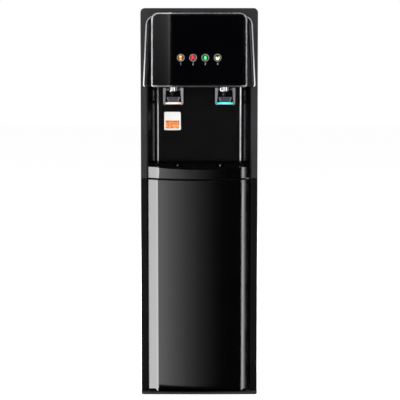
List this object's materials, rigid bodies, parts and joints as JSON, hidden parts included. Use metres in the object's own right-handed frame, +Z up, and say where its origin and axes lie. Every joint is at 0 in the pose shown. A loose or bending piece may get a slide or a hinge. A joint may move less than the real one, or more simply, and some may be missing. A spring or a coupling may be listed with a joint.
{
  "type": "bottom-loading water dispenser",
  "caption": "Tall free-standing water dispenser with hot and cold push-lever taps, a slide-out drip tray and a hinged door over the bottle bay.",
  "frame": {"origin": "on the floor, at the centre of the overall width and depth", "axes": "+Z up, -Y towards the user at the front, +X to the right seen from the front"},
  "size_m": [0.313, 0.36, 1.04],
  "materials": {
    "charcoal_abs": "fine grain",
    "gloss_black_abs": "high gloss",
    "black_acrylic": "polished",
    "black_abs": "satin",
    "pale_grey_abs": "satin",
    "chrome_abs": "polished",
    "powder_black_steel": "satin powder coat",
    "black_painted_steel": "semi-gloss",
    "zinc_steel": "zinc plated",
    "stainless_steel": "satin",
    "rubber": "matt",
    "grey_abs": "satin",
    "hot_bar": "gloss",
    "cold_bar": "gloss",
    "lens_amber": "clear gloss",
    "lens_red": "clear gloss",
    "lens_green": "clear gloss",
    "lens_white": "clear gloss",
    "board_green": "satin",
    "white_plastic": "satin",
    "cap_grey": "satin",
    "switch_red": "gloss",
    "switch_green": "gloss"
  },
  "bodies": {
    "cabinet": {"base_pan": "charcoal_abs", "bottle_platform": "black_abs", "cold_lens": "lens_green", "cold_tank": "stainless_steel", "compressor": "black_painted_steel", "compressor_grommets": "rubber", "condenser_brackets": "zinc_steel", "condenser_coil": "black_painted_steel", "condenser_wires": "black_painted_steel", "control_board": "board_green", "control_fascia": "black_acrylic", "cord_gland": "black_abs", "drain_spout": "white_plastic", "fascia_trim": "chrome_abs", "head_frame": "charcoal_abs", "head_piping": "chrome_abs", "head_pod": "gloss_black_abs", "hinge_pins": "zinc_steel", "hot_lens": "lens_red", "hot_tank": "stainless_steel", "indicator_rings": "pale_grey_abs", "lower_columns": "black_abs", "magnetic_catch": "black_abs", "mid_shelf": "zinc_steel", "niche_back_panel": "black_abs", "niche_ceiling": "black_abs", "niche_floor": "gloss_black_abs", "niche_trims": "chrome_abs", "niche_walls": "black_abs", "pivot_pins": "stainless_steel", "power_lens": "lens_amber", "probe_clip": "black_abs", "rear_panel": "powder_black_steel", "rear_screws": "zinc_steel", "rubber_feet": "rubber", "side_panels": "powder_black_steel", "switch_plate": "black_abs", "tank_bracket": "zinc_steel", "tap_bodies": "chrome_abs", "tap_nozzles": "black_abs", "top_cover": "charcoal_abs", "upper_columns": "charcoal_abs", "water_lens": "lens_white", "water_pump": "white_plastic"},
    "door": {"door_shell": "gloss_black_abs", "door_liner": "black_abs", "strike_plate": "zinc_steel"},
    "hot_lever_body": {"hot_lever": "chrome_abs", "hot_lever_paddle": "grey_abs", "hot_lever_bar": "hot_bar"},
    "cold_lever_body": {"cold_lever": "chrome_abs", "cold_lever_paddle": "grey_abs", "cold_lever_bar": "cold_bar"},
    "tray": {"drip_tray": "gloss_black_abs", "tray_front": "gloss_black_abs"},
    "grille": {"drip_grille": "gloss_black_abs"},
    "probe": {"suction_probe": "white_plastic"},
    "hot_rocker": {"hot_switch": "switch_red"},
    "cold_rocker": {"cold_switch": "switch_green"},
    "spout_cap": {"drain_cap": "cap_grey"}
  },
  "joints": [
    {"name": "door_hinge", "type": "hinge", "parent": "cabinet", "child": "door", "pos_m": [0.1305, -0.12506, 0.295], "axis": [0, 0, 1], "range_deg": [0, 90]},
    {"name": "hot_lever_pivot", "type": "hinge", "parent": "cabinet", "child": "hot_lever_body", "pos_m": [-0.07, -0.09936, 0.825], "axis": [1, 0, 0], "range_deg": [0, 12], "stiffness_Nm_per_rad": 0.3, "springref_deg": -17.19},
    {"name": "cold_lever_pivot", "type": "hinge", "parent": "cabinet", "child": "cold_lever_body", "pos_m": [0.07, -0.09936, 0.825], "axis": [1, 0, 0], "range_deg": [0, 12], "stiffness_Nm_per_rad": 0.3, "springref_deg": -17.19},
    {"name": "tray_slide", "type": "slide", "parent": "cabinet", "child": "tray", "axis": [0, -1, 0], "range_m": [0, 0.14]},
    {"name": "grille_lift", "type": "slide", "parent": "tray", "child": "grille", "axis": [0, 0, 1], "range_m": [0, 0.05]},
    {"name": "probe_lift", "type": "slide", "parent": "cabinet", "child": "probe", "axis": [0, 0, 1], "range_m": [0, 0.025]},
    {"name": "hot_switch_rock", "type": "hinge", "parent": "cabinet", "child": "hot_rocker", "pos_m": [-0.087, 0.1596, 0.95], "axis": [1, 0, 0], "range_deg": [-14, 0]},
    {"name": "cold_switch_rock", "type": "hinge", "parent": "cabinet", "child": "cold_rocker", "pos_m": [-0.061, 0.1596, 0.95], "axis": [1, 0, 0], "range_deg": [-14, 0]},
    {"name": "drain_cap_off", "type": "slide", "parent": "cabinet", "child": "spout_cap", "axis": [0, 1, 0], "range_m": [0, 0.02]}
  ]
}
